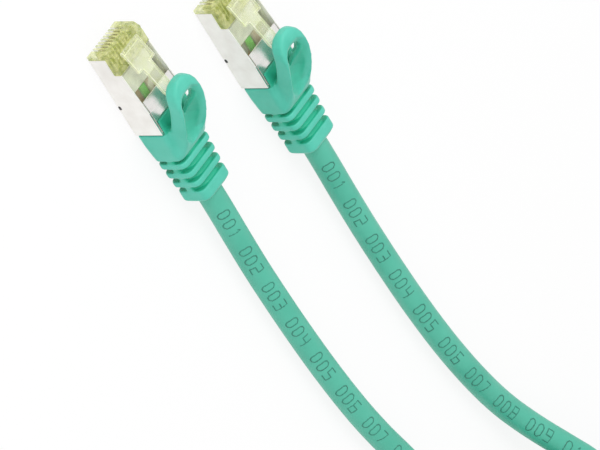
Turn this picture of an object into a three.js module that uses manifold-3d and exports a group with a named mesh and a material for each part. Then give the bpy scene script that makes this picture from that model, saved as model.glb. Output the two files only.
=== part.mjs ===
// A shielded RJ45 patch cable: two plugs side by side, latch up, joined by one round cord.
// Millimetres, +Z up. The cord leaves each plug along +X, runs along the table and is wound into a flat coil.
// The origin is on the table, in the middle of the space that the two plugs take.
import * as THREE from "three";
import { mergeVertices } from "three/addons/utils/BufferGeometryUtils.js";
import Module from "manifold-3d";

const wasm = await Module();
wasm.setup();

// ---- Driving dimensions ----------------------------------------------------------------------
// All x values below are distances behind the plug's nose.

// Plug body
const PLUG_WIDTH = 11.7; // across the metal shield
const NOSE_HEIGHT = 6.8; // of the clear housing at the front
const REAR_HEIGHT = 8.0; // of the shield behind the latch
const SHEET = 0.25; // thickness of the shield's metal
const FIT = 0.1; // play between pieces that are pushed together
const SEAM = 0.3; // gap where two pieces end face to face

// Clear housing
const HOUSING_END = 20.5; // its rear face
const NOSE_LIP = 0.9; // how far it stands in front of the shield
const NOSE_BEVEL = 1.2; // bevel along the upper front edge
const WIRE_ROOM_WIDTH = 9.6; // hollow that the conductors lie in
const WIRE_ROOM_HEIGHT = 4.4;
const WIRE_ROOM_FRONT = 6.6;
const WIRE_ROOM_FLOOR = 1.2;

// Shield cut-outs
const SHOULDER_LENGTH = 5.3; // the housing's upper edge shows this far back
const SHOULDER_HEIGHT = 4.9; // height of the metal beside the nose
const TAPER_END = 16.5; // the shield has its full height from here
const TOP_PLATE_FRONT = 13.5; // the closed top starts here
const CONTACT_WINDOW_END = 7.2; // the underside is open in front of this
const CONTACT_WINDOW_WIDTH = 9.8;
const NOTCH_AT = 14.6; // locking notch in each lower edge
const NOTCH_SIZE = 1.1;

// Contacts and their slots
const CONTACT_COUNT = 8;
const CONTACT_PITCH = 1.02;
const CONTACT_THICKNESS = 0.35;
const CONTACT_LENGTH = 5.2;
const CONTACT_HEIGHT = 3.4;
const CONTACT_RECESS = 0.5; // from the nose and from the underside

// Load bar that lines up the conductors
const LOAD_BAR_LENGTH = 5.0;
const CONDUCTOR_DIAMETER = 1.0;

// Latch
const LATCH_ROOT_AT = 1.9;
const LATCH_ROOT_LIFT = 0.55; // of its pivot line above the housing
const LATCH_ROOT_RADIUS = 0.6;
const LATCH_SLOPE = 0.27; // rise over run of its upper face
const LATCH_THICKNESS = 1.0;
const LATCH_WIDTH = 6.3; // between the locking shoulders
const LATCH_SHOULDER_AT = 7.2;
const LATCH_TAIL_WIDTH = 3.2;
const LATCH_TAIL_END = 15.2;

// Boot: a smooth hood, then a ribbed strain relief
const HOOD_WIDTH = 11.9;
const HOOD_HEIGHT = 8.6;
const HOOD_END = 30.6;
const HOOD_REAR_WIDTH = 10.9;
const HOOD_REAR_HEIGHT = 8.2;
const HOOD_LIP_FRONT = 19.0; // the hood's top reaches over the shield
const HOOD_LIP_WIDTH = 10.9;
const BOOT_END = 43.1;
const BOOT_CORNER = 1.5;
const RIB_COUNT = 4;
const RIB_PITCH = 2.8;
const RIB_THICKNESS = 1.4;
const FIRST_RIB_AT = 32.1; // middle of the first rib
const FIRST_RIB_WIDTH = 11.2;
const LAST_RIB_WIDTH = 9.8;
const CORE_WIDTH = 7.6; // of the sleeve under the ribs
const CORE_HEIGHT = 7.0;
const WEB_HEIGHT = 2.1; // of the two webs that join the ribs
const WEB_LEVEL = 4.3;

// Latch guard: a loop that leans forward over the latch
const GUARD_WIDTH = 8.8;
const GUARD_TIP_AT = 11.2;
const GUARD_HEIGHT = 16.0; // of its upper face near the tip
const GUARD_THICKNESS = 3.0; // near the tip
const GUARD_BEND_AT = 19.6; // its upper face falls towards the root from here
const GUARD_BOW = 0.3; // how far its faces stand out of straight lines
const GUARD_ROOT_AT = 25.6;
const GUARD_ROOT_HEIGHT = 10.9;
const GUARD_ROOT_RADIUS = 1.7;
const GUARD_ROUND = 4.4; // length of its rounded tip
const GUARD_SLOT_FRONT = 15.2;
const GUARD_SLOT_END = 21.8;
const GUARD_SLOT_WIDTH = 4.2;
const GUARD_HOLLOW_RADIUS = 3.0; // of the finger hollow round the slot
const GUARD_HOLLOW_SLOPE = 0.6; // of its middle line, in radians
const GUARD_HOLLOW_FLOOR = 2.1; // depth of its floor below the upper face, at the slot's front

// Cord
const CORD_DIAMETER = 6.0;
const JACKET_FRONT = 29.7; // where the jacket is cut back inside the boot
const BRAID_DIAMETER = 5.2; // of the screened bundle that comes out of the jacket
const CRIMP_PLATE = 1.45; // thickness of the plate that closes the shield
const SLEEVE_WALL = 0.4; // of the crimp sleeve round the braid
const SLEEVE_END = 29.1;

// Lay of the plugs and the coil
const PLUG_SPACING = 31.4; // sideways, between the plugs' middles
const PLUG_STAGGER = 14.6; // the second plug lies this much further back
const COIL_X = 188.0; // middle of the coil, behind the first plug's nose
const COIL_Y = 14.0; // and sideways from the first plug's middle
const COIL_RADIUS = 35.5; // of the cord's middle line in the outer turns
const COIL_START = -140; // where the first cord end joins, in degrees from +X
const COIL_TURNS = 3.686; // from one cord end to the other
const COIL_GAP = 0.5; // between one turn and the next
const LAYER_GAP = 0.45; // between the two layers

// ---- Values worked out from them -------------------------------------------------------------
const plugMiddle = REAR_HEIGHT / 2; // height of the cord's middle line in the plug
const cordRadius = CORD_DIAMETER / 2;
const shieldInside = PLUG_WIDTH - 2 * SHEET;
const housingWidth = shieldInside - 2 * FIT;
const plateEnd = HOUSING_END + SEAM + CRIMP_PLATE;
const shieldEnd = plateEnd + SHEET;
const bootFront = shieldEnd + SEAM;
const braidFront = bootFront + FIT;
const pairFront = WIRE_ROOM_FRONT + FIT + LOAD_BAR_LENGTH + SEAM;
const pairApart = CONDUCTOR_DIAMETER + FIT; // from the plug's middle line to each pair's
const pairLow = plugMiddle - pairApart * 0.75;
const pairHigh = plugMiddle + pairApart * 0.75;
const plugAPosition = new THREE.Vector3(-(PLUG_STAGGER + BOOT_END) / 2, -PLUG_SPACING / 2, 0);
const plugBPosition = plugAPosition.clone().add(new THREE.Vector3(PLUG_STAGGER, PLUG_SPACING, 0));

// ---- Materials -------------------------------------------------------------------------------
const finish = (color, roughness, metalness = 0, opacity = 1) =>
  new THREE.MeshStandardMaterial({ color, roughness, metalness, opacity, transparent: opacity < 1 });
const materials = {
  clear: finish(0xdde88a, 0.12, 0, 0.45),
  metal: finish(0xdcdad6, 0.25, 1),
  gold: finish(0xd9b252, 0.3, 1),
  bar: finish(0xe9ebe2, 0.4),
  boot: finish(0x45c9a4, 0.5),
  jacket: finish(0x52c2a0, 0.45),
  braid: finish(0xb9b9b4, 0.45, 1),
  orange: finish(0xe88324, 0.5),
  green: finish(0x4ea53c, 0.5),
  blue: finish(0x2f6fc0, 0.5),
  brown: finish(0x7d5232, 0.5),
};

// ---- Solids ----------------------------------------------------------------------------------
function solid(geometry) {
  const bare = geometry.clone();
  for (const name of Object.keys(bare.attributes)) if (name !== "position") bare.deleteAttribute(name);
  const merged = mergeVertices(bare, 1e-4);
  return new wasm.Manifold(
    new wasm.Mesh({
      numProp: 3,
      vertProperties: merged.attributes.position.array,
      triVerts: new Uint32Array(merged.index.array),
    }),
  );
}

function geometryOf(manifold) {
  const mesh = manifold.getMesh();
  const geometry = new THREE.BufferGeometry();
  geometry.setAttribute("position", new THREE.BufferAttribute(mesh.vertProperties, 3));
  geometry.setIndex(new THREE.BufferAttribute(mesh.triVerts, 1));
  geometry.computeVertexNormals();
  return geometry;
}

// A block between two corners.
function block(x0, x1, y0, y1, z0, z1) {
  const geometry = new THREE.BoxGeometry(x1 - x0, y1 - y0, z1 - z0);
  return solid(geometry.translate((x0 + x1) / 2, (y0 + y1) / 2, (z0 + z1) / 2));
}

// A block that is centred on the plug's middle plane.
const middleBlock = (x0, x1, width, z0, z1) => block(x0, x1, -width / 2, width / 2, z0, z1);

const extruded = (shape, depth, curveSegments) =>
  new THREE.ExtrudeGeometry(shape, { depth, bevelEnabled: false, curveSegments });

// A side view, drawn in x and z, made as wide as given.
function sideCut(shape, width, curveSegments = 6) {
  return solid(extruded(shape, width, curveSegments).rotateX(Math.PI / 2).translate(0, width / 2, 0));
}

// A view from above, drawn in x and y, made from z0 to z1.
function planCut(shape, z0, z1, curveSegments = 8) {
  return solid(extruded(shape, z1 - z0, curveSegments).translate(0, 0, z0));
}

// A section, drawn in y and z, made from x0 to x1.
const alongX = new THREE.Matrix4().makeBasis(
  new THREE.Vector3(0, 1, 0),
  new THREE.Vector3(0, 0, 1),
  new THREE.Vector3(1, 0, 0),
);
function sectionCut(shape, x0, x1, curveSegments = 4) {
  return solid(extruded(shape, x1 - x0, curveSegments).applyMatrix4(alongX).translate(x0, 0, 0));
}

const polygon = (points) => new THREE.Shape(points.map(([a, b]) => new THREE.Vector2(a, b)));

function roundedRectangle(width, height, radius, middle) {
  const w = width / 2 - radius;
  const h = height / 2 - radius;
  const shape = new THREE.Shape();
  shape.absarc(w, middle + h, radius, 0, Math.PI / 2, false);
  shape.absarc(-w, middle + h, radius, Math.PI / 2, Math.PI, false);
  shape.absarc(-w, middle - h, radius, Math.PI, (3 * Math.PI) / 2, false);
  shape.absarc(w, middle - h, radius, (3 * Math.PI) / 2, 2 * Math.PI, false);
  return shape;
}

function disc(radius, middle) {
  const shape = new THREE.Shape();
  shape.absarc(0, middle, radius, 0, 2 * Math.PI, false);
  return shape;
}

// A closed skin through rings of points, all with the same count.
function skin(rings) {
  const count = rings[0].length;
  const positions = rings.flat().flatMap((p) => [p.x, p.y, p.z]);
  const index = [];
  for (let i = 0; i + 1 < rings.length; i++) {
    for (let k = 0; k < count; k++) {
      const a = i * count + k;
      const b = i * count + ((k + 1) % count);
      index.push(a, b, a + count, b, b + count, a + count);
    }
  }
  const last = (rings.length - 1) * count;
  for (let k = 1; k + 1 < count; k++) index.push(0, k + 1, k, last, last + k, last + k + 1);
  const geometry = new THREE.BufferGeometry();
  geometry.setAttribute("position", new THREE.Float32BufferAttribute(positions, 3));
  geometry.setIndex(index);
  return geometry;
}

// A tapering piece of rounded section that stands on the table, from x0 to x1.
function taper(x0, x1, width0, height0, width1, height1) {
  const ring = (x, width, height) =>
    roundedRectangle(width, height, BOOT_CORNER, height / 2)
      .getPoints(4)
      .filter((p, i, all) => i === 0 || p.distanceTo(all[i - 1]) > 1e-4)
      .map((p) => new THREE.Vector3(x, p.x, p.y));
  const rings = [ring(x0, width0, height0), ring(x1, width1, height1)].map((r) =>
    r[0].distanceTo(r[r.length - 1]) < 1e-4 ? r.slice(0, -1) : r,
  );
  return solid(skin(rings));
}

// A tube or rod across the plug, about a line through x and z.
function crossRod(x, z, radius, width, sides = 20) {
  return solid(new THREE.CylinderGeometry(radius, radius, width, sides).translate(x, 0, z));
}

// ---- Clear housing ---------------------------------------------------------------------------
const contactSlotWidth = CONTACT_THICKNESS + 2 * FIT;
const contactY = (i) => (i - (CONTACT_COUNT - 1) / 2) * CONTACT_PITCH;
const latchRootZ = NOSE_HEIGHT + LATCH_ROOT_LIFT;

function housing() {
  const nose = sideCut(
    polygon([
      [0, 0],
      [NOSE_LIP, 0],
      [NOSE_LIP, SHOULDER_HEIGHT],
      [SHOULDER_LENGTH, SHOULDER_HEIGHT],
      [SHOULDER_LENGTH, NOSE_HEIGHT],
      [NOSE_BEVEL, NOSE_HEIGHT],
      [0, NOSE_HEIGHT - NOSE_BEVEL],
    ]),
    PLUG_WIDTH,
  );
  const bottom = SHEET + FIT;
  let body = middleBlock(NOSE_LIP / 2, HOUSING_END, housingWidth, bottom, NOSE_HEIGHT - SHEET - FIT);
  body = body.add(middleBlock(NOSE_LIP / 2, CONTACT_WINDOW_END - FIT, contactBlockWidth, 0, bottom + FIT));
  body = body.add(nose);
  // The latch grows out of a low boss on the nose.
  const bossEnd = LATCH_ROOT_AT + LATCH_ROOT_RADIUS;
  const boss = sideCut(
    polygon([
      [NOSE_BEVEL - FIT, NOSE_HEIGHT - FIT],
      [bossEnd, NOSE_HEIGHT - FIT],
      [LATCH_ROOT_AT, latchRootZ],
      [NOSE_BEVEL, latchRootZ],
    ]),
    LATCH_WIDTH,
  );
  body = body.add(boss).subtract(crossRod(LATCH_ROOT_AT, latchRootZ, LATCH_ROOT_RADIUS + FIT, PLUG_WIDTH));
  // The hollow for the conductors is open at the rear.
  const roomTop = WIRE_ROOM_FLOOR + WIRE_ROOM_HEIGHT;
  body = body.subtract(
    middleBlock(WIRE_ROOM_FRONT, HOUSING_END + 1, WIRE_ROOM_WIDTH, WIRE_ROOM_FLOOR, roomTop),
  );
  const around = CONDUCTOR_DIAMETER / 2 + FIT;
  const pairsWide = 2 * (pairApart + CONDUCTOR_DIAMETER + FIT);
  body = body.subtract(
    middleBlock(pairFront - FIT, HOUSING_END + 1, pairsWide, pairLow - around, pairHigh + around),
  );
  for (let i = 0; i < CONTACT_COUNT; i++) {
    const y = contactY(i);
    const slotEnd = CONTACT_RECESS + CONTACT_LENGTH + FIT;
    const slotTop = CONTACT_RECESS + CONTACT_HEIGHT + FIT;
    body = body.subtract(
      block(-1, slotEnd, y - contactSlotWidth / 2, y + contactSlotWidth / 2, -1, slotTop),
    );
  }
  return body;
}
const contactBlockWidth = CONTACT_WINDOW_WIDTH - 2 * FIT;

function contact(i) {
  const x0 = CONTACT_RECESS;
  const x1 = x0 + CONTACT_LENGTH;
  const z0 = CONTACT_RECESS;
  const z1 = z0 + CONTACT_HEIGHT;
  const shape = new THREE.Shape();
  const round = CONTACT_HEIGHT * 0.3;
  shape.moveTo(x1, z0 + round);
  shape.lineTo(x1, z1);
  shape.lineTo(x0 + round, z1);
  shape.lineTo(x0, z1 - round);
  shape.lineTo(x0, z0 + round);
  shape.absarc(x0 + round, z0 + round, round, Math.PI, 1.5 * Math.PI, false);
  shape.lineTo(x1 - round, z0);
  return geometryOf(sideCut(shape, CONTACT_THICKNESS, 4).translate([0, contactY(i), 0]));
}

// ---- Shield ----------------------------------------------------------------------------------
function shieldOutline(inset) {
  return polygon([
    [NOSE_LIP - inset, inset],
    [shieldEnd + inset, inset],
    [shieldEnd + inset, REAR_HEIGHT - inset],
    [TAPER_END, REAR_HEIGHT - inset],
    [SHOULDER_LENGTH, NOSE_HEIGHT - inset],
    [NOSE_LIP - inset, NOSE_HEIGHT - inset],
  ]);
}

function shield() {
  let body = sideCut(shieldOutline(0), PLUG_WIDTH).subtract(sideCut(shieldOutline(SHEET), shieldInside));
  // Open above the latch, beside the nose, and under the contacts.
  body = body.subtract(middleBlock(0, TOP_PLATE_FRONT, shieldInside, NOSE_HEIGHT - 1, REAR_HEIGHT + 1));
  body = body.subtract(
    middleBlock(0, SHOULDER_LENGTH + FIT, PLUG_WIDTH + 1, SHOULDER_HEIGHT - FIT, REAR_HEIGHT + 1),
  );
  body = body.subtract(middleBlock(0, NOSE_LIP + FIT, PLUG_WIDTH + 1, -1, REAR_HEIGHT + 1));
  body = body.subtract(middleBlock(0, CONTACT_WINDOW_END, CONTACT_WINDOW_WIDTH, -1, 1));
  for (const side of [-1, 1]) {
    const y = (side * PLUG_WIDTH) / 2;
    const half = NOTCH_SIZE / 2;
    body = body.subtract(block(NOTCH_AT - half, NOTCH_AT + half, y - SHEET * 2, y + SHEET * 2, -1, half));
  }
  return body;
}

// ---- Inside the plug -------------------------------------------------------------------------
function loadBar() {
  const x0 = WIRE_ROOM_FRONT + FIT;
  const z0 = WIRE_ROOM_FLOOR + FIT;
  const height = WIRE_ROOM_HEIGHT - 2 * FIT;
  let body = middleBlock(x0, x0 + LOAD_BAR_LENGTH, WIRE_ROOM_WIDTH - 2 * FIT, z0, z0 + height);
  for (let i = 0; i < CONTACT_COUNT; i++) {
    const level = z0 + height * (i % 2 ? 0.7 : 0.3);
    const hole = sectionCut(disc(CONDUCTOR_DIAMETER / 2, level), x0 - 1, x0 + LOAD_BAR_LENGTH + 1, 3);
    body = body.subtract(hole.translate([0, contactY(i), 0]));
  }
  return body;
}

// Two conductors side by side, as they run from the cut jacket to the load bar.
function pair(y, z) {
  const shape = new THREE.Shape();
  const r = CONDUCTOR_DIAMETER / 2;
  shape.absarc(r, z, r, -Math.PI / 2, Math.PI / 2, false);
  shape.absarc(-r, z, r, Math.PI / 2, (3 * Math.PI) / 2, false);
  return sectionCut(shape, pairFront, braidFront - SEAM, 4).translate([0, y, 0]);
}

const braidRadius = BRAID_DIAMETER / 2;
const crimpInner = braidRadius + FIT;
const crimpOuter = crimpInner + SLEEVE_WALL;

// The crimp sleeve has a plate that sits in the shield's rear end.
function crimpSleeve() {
  const plate = middleBlock(
    HOUSING_END + SEAM,
    plateEnd,
    shieldInside - 2 * FIT,
    SHEET + FIT,
    REAR_HEIGHT - SHEET - FIT,
  );
  const bore = sectionCut(disc(crimpInner, plugMiddle), HOUSING_END, SLEEVE_END + 1, 10);
  return plate.add(sectionCut(disc(crimpOuter, plugMiddle), plateEnd - SHEET, SLEEVE_END, 10)).subtract(bore);
}

// ---- Latch -----------------------------------------------------------------------------------
function latch() {
  const topAt = (x) => latchRootZ + LATCH_ROOT_RADIUS + (x - LATCH_ROOT_AT) * LATCH_SLOPE;
  const underAt = (x) => topAt(x) - LATCH_THICKNESS;
  const start = LATCH_ROOT_AT;
  const arm = sideCut(
    polygon([
      [start, topAt(start)],
      [start, underAt(start) + LATCH_ROOT_RADIUS / 2],
      [LATCH_ROOT_AT + 2 * LATCH_ROOT_RADIUS, underAt(LATCH_ROOT_AT + 2 * LATCH_ROOT_RADIUS) + FIT],
      [LATCH_TAIL_END - 1, underAt(LATCH_TAIL_END - 1)],
      [LATCH_TAIL_END, underAt(LATCH_TAIL_END) + LATCH_THICKNESS / 2],
      [LATCH_TAIL_END, topAt(LATCH_TAIL_END)],
    ]),
    LATCH_WIDTH,
  );
  const wide = LATCH_WIDTH / 2;
  const narrow = LATCH_TAIL_WIDTH / 2;
  const above = planCut(
    polygon([
      [0, -wide],
      [LATCH_SHOULDER_AT, -wide],
      [LATCH_SHOULDER_AT, -narrow],
      [LATCH_TAIL_END + 1, -narrow],
      [LATCH_TAIL_END + 1, narrow],
      [LATCH_SHOULDER_AT, narrow],
      [LATCH_SHOULDER_AT, wide],
      [0, wide],
    ]),
    0,
    REAR_HEIGHT * 3,
  );
  return arm.intersect(above).add(crossRod(LATCH_ROOT_AT, latchRootZ, LATCH_ROOT_RADIUS, LATCH_WIDTH));
}

// ---- Boot ------------------------------------------------------------------------------------
function boot() {
  const front = bootFront;
  let body = taper(front, HOOD_END, HOOD_WIDTH, HOOD_HEIGHT, HOOD_REAR_WIDTH, HOOD_REAR_HEIGHT);
  // Lip over the shield's top plate.
  const lipBottom = REAR_HEIGHT + FIT;
  body = body.add(
    middleBlock(HOOD_LIP_FRONT, front + 1, HOOD_LIP_WIDTH, lipBottom, HOOD_HEIGHT - FIT),
  );
  // Mound that the guard leans out of.
  const saddle = GUARD_ROOT_RADIUS + SEAM;
  const mound = sideCut(
    polygon([
      [front, HOOD_HEIGHT - FIT * 2],
      [HOOD_END - FIT, HOOD_REAR_HEIGHT - BOOT_CORNER / 2],
      [HOOD_END - FIT, HOOD_REAR_HEIGHT],
      [GUARD_ROOT_AT + saddle * 0.7, GUARD_ROOT_HEIGHT + GUARD_BOW],
      [GUARD_ROOT_AT - saddle / 2, GUARD_ROOT_HEIGHT - GUARD_ROOT_RADIUS],
      [front, HOOD_HEIGHT],
    ]),
    GUARD_WIDTH,
  );
  body = body.add(mound).subtract(crossRod(GUARD_ROOT_AT, GUARD_ROOT_HEIGHT, saddle, HOOD_WIDTH));
  // Strain relief: a core, its ribs, and a web on each side.
  const core = roundedRectangle(CORE_WIDTH, CORE_HEIGHT, BOOT_CORNER, plugMiddle);
  body = body.add(sectionCut(core, HOOD_END - 1, BOOT_END, 4));
  for (let i = 0; i < RIB_COUNT; i++) {
    const middle = FIRST_RIB_AT + i * RIB_PITCH;
    const share = i / (RIB_COUNT - 1);
    const width = FIRST_RIB_WIDTH + (LAST_RIB_WIDTH - FIRST_RIB_WIDTH) * share;
    const end = i === RIB_COUNT - 1 ? BOOT_END : middle + RIB_THICKNESS / 2;
    body = body.add(taper(middle - RIB_THICKNESS / 2, end, width, HOOD_REAR_HEIGHT, width, HOOD_REAR_HEIGHT));
  }
  const lastRib = FIRST_RIB_AT + (RIB_COUNT - 1) * RIB_PITCH;
  const webTop = WEB_LEVEL + WEB_HEIGHT / 2;
  body = body.add(middleBlock(HOOD_END - 1, lastRib, LAST_RIB_WIDTH, WEB_LEVEL - WEB_HEIGHT / 2, webTop));
  // Room for the crimp sleeve, then a bore for the cord.
  body = body.subtract(sectionCut(disc(crimpOuter + FIT, plugMiddle), front - 1, SLEEVE_END + SEAM, 10));
  return body.subtract(sectionCut(disc(cordRadius + FIT, plugMiddle), front, BOOT_END + 1, 10));
}

// ---- Latch guard -----------------------------------------------------------------------------
function guard() {
  const tip = GUARD_TIP_AT;
  const at = (x, z) => new THREE.Vector2(x, z);
  const low = at(GUARD_ROOT_AT - GUARD_ROOT_RADIUS * 0.6, GUARD_ROOT_HEIGHT - GUARD_ROOT_RADIUS * 0.7);
  const high = at(GUARD_ROOT_AT + GUARD_ROOT_RADIUS * 0.7, GUARD_ROOT_HEIGHT + GUARD_ROOT_RADIUS * 0.65);
  const chin = at(tip + GUARD_THICKNESS * 0.7, GUARD_HEIGHT - GUARD_THICKNESS);
  const bend = at(GUARD_BEND_AT, GUARD_HEIGHT - GUARD_THICKNESS * 0.2);
  const between = (a, b, share, bow) => a.clone().lerp(b, share).add(at(0, bow));
  const side = new THREE.Shape();
  side.moveTo(low.x, low.y);
  side.splineThru([
    between(low, chin, 0.25, GUARD_BOW),
    between(low, chin, 0.6, GUARD_BOW),
    chin,
    at(tip, GUARD_HEIGHT - GUARD_THICKNESS * 0.42),
    at(tip + GUARD_THICKNESS * 0.55, GUARD_HEIGHT),
    bend,
    between(bend, high, 0.5, 2 * GUARD_BOW),
    high,
  ]);
  const half = GUARD_WIDTH / 2;
  const back = GUARD_ROOT_AT + GUARD_ROOT_RADIUS + 1;
  const plan = new THREE.Shape();
  plan.moveTo(back, -half);
  plan.lineTo(back, half);
  plan.lineTo(tip + GUARD_ROUND, half);
  plan.absellipse(tip + GUARD_ROUND, 0, GUARD_ROUND, half, Math.PI / 2, 1.5 * Math.PI, false);
  const slotHalf = GUARD_SLOT_WIDTH / 2;
  const slot = new THREE.Shape();
  slot.moveTo(GUARD_SLOT_END, -slotHalf / 3);
  slot.lineTo(GUARD_SLOT_END, slotHalf / 3);
  slot.lineTo(GUARD_SLOT_FRONT + slotHalf, slotHalf);
  slot.absarc(GUARD_SLOT_FRONT + slotHalf, 0, slotHalf, Math.PI / 2, 1.5 * Math.PI, false);
  const top = GUARD_ROOT_HEIGHT * 2;
  // The hollow leans like the guard's rear slope, and ends with the slot.
  const reach = (GUARD_SLOT_END - GUARD_SLOT_FRONT) / Math.cos(GUARD_HOLLOW_SLOPE);
  const hollow = new THREE.CylinderGeometry(GUARD_HOLLOW_RADIUS, GUARD_HOLLOW_RADIUS, 2 * reach, 24)
    .rotateZ(Math.PI / 2)
    .translate(0, 0, GUARD_HOLLOW_RADIUS)
    .rotateY(GUARD_HOLLOW_SLOPE)
    .translate(GUARD_SLOT_FRONT, 0, GUARD_HEIGHT - GUARD_HOLLOW_FLOOR);
  return sideCut(side, GUARD_WIDTH, 3)
    .add(crossRod(GUARD_ROOT_AT, GUARD_ROOT_HEIGHT, GUARD_ROOT_RADIUS, GUARD_WIDTH))
    .intersect(planCut(plan, 0, top, 8))
    .subtract(planCut(slot, 0, top, 6))
    .subtract(solid(hollow));
}

// ---- Cord ------------------------------------------------------------------------------------
const toWorld = ([x, y, z]) => new THREE.Vector3(x, y, z).add(plugAPosition);

// The coil spirals in on the table, climbs a layer where it turns round, and spirals out again.
const coilPitch = CORD_DIAMETER + COIL_GAP;
const layerRise = CORD_DIAMETER + LAYER_GAP;
const coilMiddle = toWorld([COIL_X, COIL_Y, 0]);
const STEPS_PER_TURN = 24;

function coilPoint(turn) {
  const fromMiddle = turn - COIL_TURNS / 2;
  const soft = 0.08; // rounds the reversal, in turns
  const inward = COIL_TURNS / 2 - Math.sqrt(fromMiddle ** 2 + soft ** 2);
  const radius = COIL_RADIUS - coilPitch * inward;
  const climb = THREE.MathUtils.smoothstep(fromMiddle, -0.25, 0.25);
  const angle = THREE.MathUtils.degToRad(COIL_START) + turn * 2 * Math.PI;
  return new THREE.Vector3(
    coilMiddle.x + radius * Math.cos(angle),
    coilMiddle.y + radius * Math.sin(angle),
    cordRadius + layerRise * climb,
  );
}

function coilLine() {
  const steps = Math.round(COIL_TURNS * STEPS_PER_TURN);
  const turns = Array.from({ length: steps + 1 }, (_, i) => coilPoint((i * COIL_TURNS) / steps));
  const beyond = (a, b) => a.clone().add(a.clone().sub(b).setZ(0).setLength(CORD_DIAMETER));
  return [beyond(turns[0], turns[1]), ...turns, beyond(turns[steps], turns[steps - 1])];
}

// A faceted tube through the points, each ring upright and square to the line.
function tubeThrough(points, sides) {
  const rings = points.map((p, i) => {
    const way = points[Math.min(i + 1, points.length - 1)].clone().sub(points[Math.max(i - 1, 0)]);
    const across = new THREE.Vector3(-way.y, way.x, 0).normalize();
    const up = way.clone().cross(across).normalize();
    return Array.from({ length: sides }, (_, k) => {
      const angle = ((k + 0.5) * 2 * Math.PI) / sides;
      return p
        .clone()
        .addScaledVector(across, cordRadius * Math.cos(angle))
        .addScaledVector(up, cordRadius * Math.sin(angle));
    });
  });
  return skin(rings);
}

// The least gap between two turns of the coil, measured between points on its middle line.
function leastGap(points) {
  let least = Infinity;
  points.forEach((p, i) => {
    for (const q of points.slice(i + STEPS_PER_TURN / 2)) least = Math.min(least, p.distanceTo(q));
  });
  return least - CORD_DIAMETER;
}

const coilPoints = coilLine();
console.log("least gap between the coil's turns: " + leastGap(coilPoints).toFixed(2) + " mm");

// The free stretches, behind the first plug's nose and sideways from its middle.
const exitA = BOOT_END + SEAM;
const stretchA = [
  [exitA, 0, plugMiddle],
  [50, 0, 3.9],
  [58, 0.1, 3.5],
  [68, 0.3, 3.1],
  [85.6, 0.9, cordRadius],
  [100, 1.9, cordRadius],
  [112.5, 3.4, cordRadius],
  [121, 5.0, cordRadius],
  [131, 7.3, cordRadius],
  [139, 7.9, cordRadius],
  [146.3, 6.2, cordRadius],
].map(toWorld);

const exitB = exitA + PLUG_STAGGER;
const stretchB = [
  [exitB, PLUG_SPACING, plugMiddle],
  [64.5, 31.4, 3.9],
  [72.5, 31.5, 3.5],
  [82, 31.7, 3.1],
  [95, 32, cordRadius],
  [107.5, 32.6, cordRadius],
  [120, 33.8, cordRadius],
  [131.5, 35.7, cordRadius],
  [142, 38.2, 3.3],
  [151, 40.8, 5.0],
  [161, 43.9, 8.3],
].map(toWorld);

// A free stretch ends just short of the coil, in line with the coil's straight end.
function freeLine(stretch, end, inner) {
  const way = inner.clone().sub(end).normalize();
  const last = end.clone().addScaledVector(way, -SEAM);
  const before = last.clone().addScaledVector(way, -CORD_DIAMETER);
  return new THREE.CatmullRomCurve3([...stretch, before, last], false, "centripetal");
}

function freeTube(curve) {
  const section = new THREE.Shape();
  const sides = 8;
  for (let k = 0; k < sides; k++) {
    const angle = ((k + 0.5) * 2 * Math.PI) / sides;
    section[k ? "lineTo" : "moveTo"](cordRadius * Math.cos(angle), cordRadius * Math.sin(angle));
  }
  section.closePath();
  const steps = Math.round(curve.getLength() / (2 * CORD_DIAMETER));
  return new THREE.ExtrudeGeometry(section, { steps, bevelEnabled: false, extrudePath: curve });
}

// ---- Assembly --------------------------------------------------------------------------------
const root = new THREE.Group();

function addTo(group, name, shape, material) {
  const geometry = shape.isBufferGeometry ? shape : geometryOf(shape);
  const mesh = new THREE.Mesh(geometry, material);
  mesh.name = name;
  group.add(mesh);
}

// One plug with its boot. Its name ends every node's name.
function plug(letter, position) {
  const group = new THREE.Group();
  group.position.copy(position);
  const add = (name, shape, material) => addTo(group, name + "_" + letter, shape, material);
  add("housing", housing(), materials.clear);
  add("latch", latch(), materials.clear);
  add("shield", shield(), materials.metal);
  for (let i = 0; i < CONTACT_COUNT; i++) add("contact_" + (i + 1), contact(i), materials.gold);
  add("load_bar", loadBar(), materials.bar);
  add("pair_green", pair(-pairApart, pairHigh), materials.green);
  add("pair_brown", pair(pairApart, pairHigh), materials.brown);
  add("pair_orange", pair(-pairApart, pairLow), materials.orange);
  add("pair_blue", pair(pairApart, pairLow), materials.blue);
  add("jacket_end", sectionCut(disc(cordRadius, plugMiddle), JACKET_FRONT, BOOT_END, 8), materials.jacket);
  const braid = sectionCut(disc(braidRadius, plugMiddle), braidFront, JACKET_FRONT - SEAM, 8);
  add("braid", braid, materials.braid);
  add("crimp_sleeve", crimpSleeve(), materials.metal);
  add("boot", boot(), materials.boot);
  add("latch_guard", guard(), materials.boot);
  root.add(group);
}

plug("a", plugAPosition);
plug("b", plugBPosition);

addTo(root, "cord_a", freeTube(freeLine(stretchA, coilPoints[0], coilPoints[1])), materials.jacket);
addTo(root, "cord_coil", tubeThrough(coilPoints, 6), materials.jacket);
const coilEnd = coilPoints.length - 1;
const lineB = freeLine(stretchB, coilPoints[coilEnd], coilPoints[coilEnd - 1]);
addTo(root, "cord_b", freeTube(lineB), materials.jacket);

export default root;
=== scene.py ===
import math

import bmesh
import bpy
from mathutils import Matrix, Vector


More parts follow.
